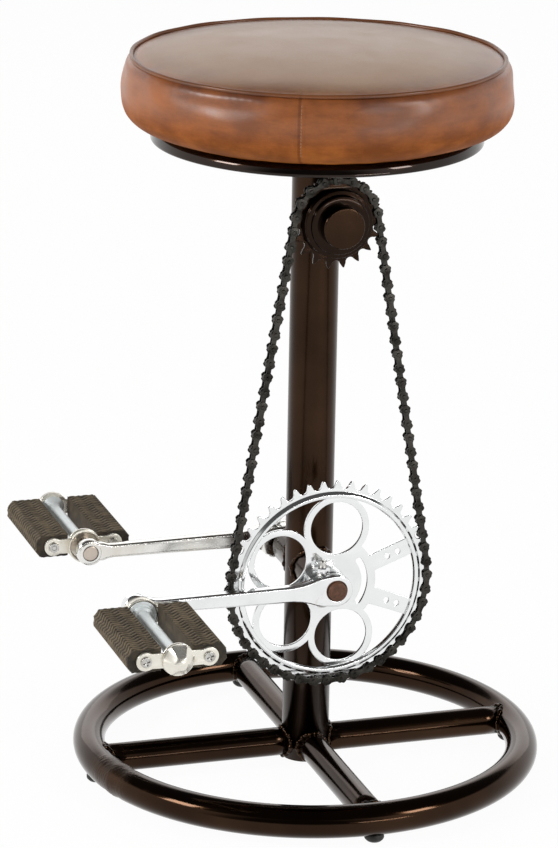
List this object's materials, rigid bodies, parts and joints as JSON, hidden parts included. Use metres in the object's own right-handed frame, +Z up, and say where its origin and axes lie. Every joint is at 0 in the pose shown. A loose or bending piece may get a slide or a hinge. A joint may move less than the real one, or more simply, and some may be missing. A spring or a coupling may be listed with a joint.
{
  "type": "counter stool",
  "caption": "Counter stool with a round padded leather seat on a post and hoop base, with a chain drive on the post and level cranks whose pedals serve as footrests.",
  "frame": {"origin": "on the floor, under the axis of the post", "axes": "+Z up along the post; the chain is on the -Y side and both cranks point along -X"},
  "size_m": [0.4253, 0.4378, 0.6453],
  "materials": {
    "brown_paint": "glossy dark brown paint",
    "black_paint": "satin dark paint",
    "foot_plastic": "matt",
    "chrome": "polished",
    "pedal_chrome": "polished, a little worn",
    "bright_steel": "bright",
    "chain_steel": "darkened",
    "rubber": "matt, ribbed",
    "plywood": "raw",
    "leather": "waxed, with patina",
    "piping_leather": "waxed"
  },
  "bodies": {
    "stool": {"base_ring": "brown_paint", "base_spokes": "brown_paint", "base_feet": "foot_plastic", "post_tube": "brown_paint", "spindle_shell": "brown_paint", "crank_spindle": "brown_paint", "near_crank": "chrome", "far_crank": "chrome", "cotter_pins": "chrome", "cotter_nuts": "chrome", "chainring": "chrome", "sprocket_stub": "brown_paint", "sprocket": "black_paint", "sprocket_body": "black_paint", "chain_lower_wrap": "chain_steel", "chain_right_run": "chain_steel", "chain_upper_wrap": "chain_steel", "chain_left_run": "chain_steel", "pedal_axles": "bright_steel", "pedal_axle_nuts": "bright_steel", "seat_plate": "brown_paint", "seat_board": "plywood", "seat_cushion": "leather", "seat_piping": "piping_leather"},
    "near_pedal": {"near_pedal_inner_plate": "pedal_chrome", "near_pedal_barrel": "pedal_chrome", "near_pedal_outer_plate": "pedal_chrome", "near_pedal_block_left": "rubber", "near_pedal_block_right": "rubber", "near_pedal_rods": "bright_steel", "near_pedal_dust_cap": "pedal_chrome"},
    "far_pedal": {"far_pedal_inner_plate": "pedal_chrome", "far_pedal_barrel": "pedal_chrome", "far_pedal_outer_plate": "pedal_chrome", "far_pedal_block_left": "rubber", "far_pedal_block_right": "rubber", "far_pedal_rods": "bright_steel", "far_pedal_dust_cap": "pedal_chrome"}
  },
  "joints": [
    {"name": "near_pedal_spin", "type": "hinge", "parent": "stool", "child": "near_pedal", "pos_m": [-0.178, -0.15, 0.185], "axis": [0, 1, 0], "continuous": true},
    {"name": "far_pedal_spin", "type": "hinge", "parent": "stool", "child": "far_pedal", "pos_m": [-0.178, 0.15, 0.185], "axis": [0, 1, 0], "continuous": true}
  ]
}
